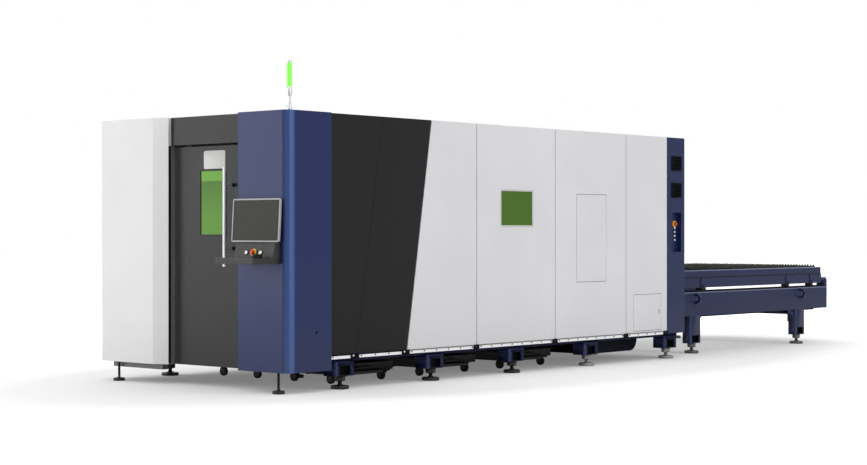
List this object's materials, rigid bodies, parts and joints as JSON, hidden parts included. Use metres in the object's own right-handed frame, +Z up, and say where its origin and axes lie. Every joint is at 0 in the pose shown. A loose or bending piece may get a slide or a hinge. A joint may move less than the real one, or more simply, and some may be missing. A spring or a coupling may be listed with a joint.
{
  "type": "laser cutting machine",
  "caption": "Enclosed sheet laser cutter with sliding front door, corner console, side windows and a shuttle exchange table with serrated slat pallets.",
  "frame": {"origin": "on the floor under the middle of the machine's bounding box", "axes": "+X along the machine from the operator's end to the exchange table, +Y away from the side with the service door, +Z up"},
  "size_m": [9.215, 2.28, 2.598],
  "materials": {
    "blue_paint": "satin powder coat",
    "white_paint": "satin powder coat",
    "dark_paint": "satin powder coat",
    "door_grey": "satin powder coat",
    "pallet_blue": "satin paint, scuffed",
    "slat_steel": "hot-rolled, cut edges",
    "bright_steel": "brushed",
    "foot_iron": "oiled",
    "laser_glass": "tinted laser-safe pane",
    "case_silver": "fine texture",
    "screen_glass": "dark glass",
    "console_grey": "satin powder coat",
    "black_plastic": "fine texture",
    "gantry_alloy": "machined",
    "tower_alloy": "anodised",
    "lamp_green": "clear tinted",
    "cart_steel": "satin paint",
    "stop_red": "gloss",
    "button_white": "gloss",
    "button_grey": "satin"
  },
  "bodies": {
    "machine": {"base_frame": "blue_paint", "console": "console_grey", "corner_column": "blue_paint", "cutting_bed": "blue_paint", "dark_panel_front": "dark_paint", "dark_panel_slanted": "dark_paint", "door_header": "dark_paint", "door_track": "bright_steel", "enclosure_frame": "dark_paint", "end_column": "blue_paint", "end_cover": "white_paint", "exchange_drive": "foot_iron", "exhaust_duct": "dark_paint", "keyboard_tray": "console_grey", "levelling_feet": "foot_iron", "monitor": "case_silver", "monitor_screen": "screen_glass", "mouse": "black_plastic", "rear_end_column": "blue_paint", "rear_panels": "white_paint", "roof_panels": "white_paint", "side_window": "laser_glass", "skirt_strips": "white_paint", "table_end_wall": "white_paint", "table_frame": "blue_paint", "tower_lamp": "lamp_green", "tower_stem": "tower_alloy", "vent_grilles": "dark_paint", "white_panel_a": "white_paint", "white_panel_b": "white_paint", "white_panel_c": "white_paint", "white_panel_d": "white_paint", "x_guide_rails": "bright_steel"},
    "door": {"door_panel": "door_grey", "door_window": "laser_glass", "door_handle": "bright_steel"},
    "gantry": {"gantry_beam": "gantry_alloy", "gantry_drives": "black_plastic"},
    "carriage": {"head_carriage": "gantry_alloy"},
    "head": {"cutting_head": "gantry_alloy"},
    "upper_table": {"upper_pallet": "pallet_blue", "upper_slats": "slat_steel"},
    "lower_table": {"lower_pallet": "pallet_blue", "lower_slats": "slat_steel"},
    "service_leaf": {"service_door": "white_paint"},
    "hatch_leaf": {"hatch": "white_paint"},
    "start_key": {"start_button": "button_white"},
    "reset_key": {"reset_button": "button_white"},
    "front_stop_key": {"front_stop": "stop_red"},
    "rear_stop_key": {"rear_stop": "stop_red"},
    "cart_1": {"scrap_cart_1": "cart_steel"},
    "cart_2": {"scrap_cart_2": "cart_steel"},
    "cart_3": {"scrap_cart_3": "cart_steel"},
    "cart_4": {"scrap_cart_4": "cart_steel"},
    "cart_5": {"scrap_cart_5": "cart_steel"},
    "cart_6": {"scrap_cart_6": "cart_steel"},
    "rear_key_1": {"rear_button_1": "button_grey"},
    "rear_key_2": {"rear_button_2": "button_grey"},
    "rear_key_3": {"rear_button_3": "button_grey"},
    "rear_key_4": {"rear_button_4": "button_grey"}
  },
  "joints": [
    {"name": "door_slide", "type": "slide", "parent": "machine", "child": "door", "axis": [0, 1, 0], "range_m": [0, 0.66]},
    {"name": "gantry_travel", "type": "slide", "parent": "machine", "child": "gantry", "axis": [1, 0, 0], "range_m": [0, 3.3]},
    {"name": "head_travel", "type": "slide", "parent": "gantry", "child": "carriage", "axis": [0, 1, 0], "range_m": [-0.72, 0.72]},
    {"name": "head_lift", "type": "slide", "parent": "carriage", "child": "head", "axis": [0, 0, 1], "range_m": [-0.06, 0.12]},
    {"name": "upper_pallet_slide", "type": "slide", "parent": "machine", "child": "upper_table", "axis": [-1, 0, 0], "range_m": [0, 3.42]},
    {"name": "lower_pallet_slide", "type": "slide", "parent": "machine", "child": "lower_table", "axis": [1, 0, 0], "range_m": [0, 3.42]},
    {"name": "cart_roll_1", "type": "slide", "parent": "machine", "child": "cart_1", "axis": [0, -1, 0], "range_m": [0, 0.75]},
    {"name": "cart_roll_2", "type": "slide", "parent": "machine", "child": "cart_2", "axis": [0, -1, 0], "range_m": [0, 0.75]},
    {"name": "cart_roll_3", "type": "slide", "parent": "machine", "child": "cart_3", "axis": [0, -1, 0], "range_m": [0, 0.75]},
    {"name": "cart_roll_4", "type": "slide", "parent": "machine", "child": "cart_4", "axis": [0, 1, 0], "range_m": [0, 0.75]},
    {"name": "cart_roll_5", "type": "slide", "parent": "machine", "child": "cart_5", "axis": [0, 1, 0], "range_m": [0, 0.75]},
    {"name": "cart_roll_6", "type": "slide", "parent": "machine", "child": "cart_6", "axis": [0, 1, 0], "range_m": [0, 0.75]},
    {"name": "service_hinge", "type": "hinge", "parent": "machine", "child": "service_leaf", "pos_m": [-0.533, -1.088, 1.201], "axis": [0, 0, -1], "range_deg": [0, 100]},
    {"name": "hatch_hinge", "type": "hinge", "parent": "machine", "child": "hatch_leaf", "pos_m": [0.3935, -1.088, 0.473], "axis": [0, 0, -1], "range_deg": [0, 100]},
    {"name": "start_press", "type": "slide", "parent": "machine", "child": "start_key", "axis": [0.9639, 0, -0.2664], "range_m": [0, 0.004], "stiffness_N_per_m": 400},
    {"name": "reset_press", "type": "slide", "parent": "machine", "child": "reset_key", "axis": [0.9639, 0, -0.2664], "range_m": [0, 0.004], "stiffness_N_per_m": 400},
    {"name": "front_stop_press", "type": "slide", "parent": "machine", "child": "front_stop_key", "axis": [0.9639, 0, -0.2664], "range_m": [0, 0.004], "stiffness_N_per_m": 400},
    {"name": "rear_stop_press", "type": "slide", "parent": "machine", "child": "rear_stop_key", "axis": [0, 1, 0], "range_m": [0, 0.004], "stiffness_N_per_m": 400},
    {"name": "rear_press_1", "type": "slide", "parent": "machine", "child": "rear_key_1", "axis": [0, 1, 0], "range_m": [0, 0.004], "stiffness_N_per_m": 400},
    {"name": "rear_press_2", "type": "slide", "parent": "machine", "child": "rear_key_2", "axis": [0, 1, 0], "range_m": [0, 0.004], "stiffness_N_per_m": 400},
    {"name": "rear_press_3", "type": "slide", "parent": "machine", "child": "rear_key_3", "axis": [0, 1, 0], "range_m": [0, 0.004], "stiffness_N_per_m": 400},
    {"name": "rear_press_4", "type": "slide", "parent": "machine", "child": "rear_key_4", "axis": [0, 1, 0], "range_m": [0, 0.004], "stiffness_N_per_m": 400}
  ]
}
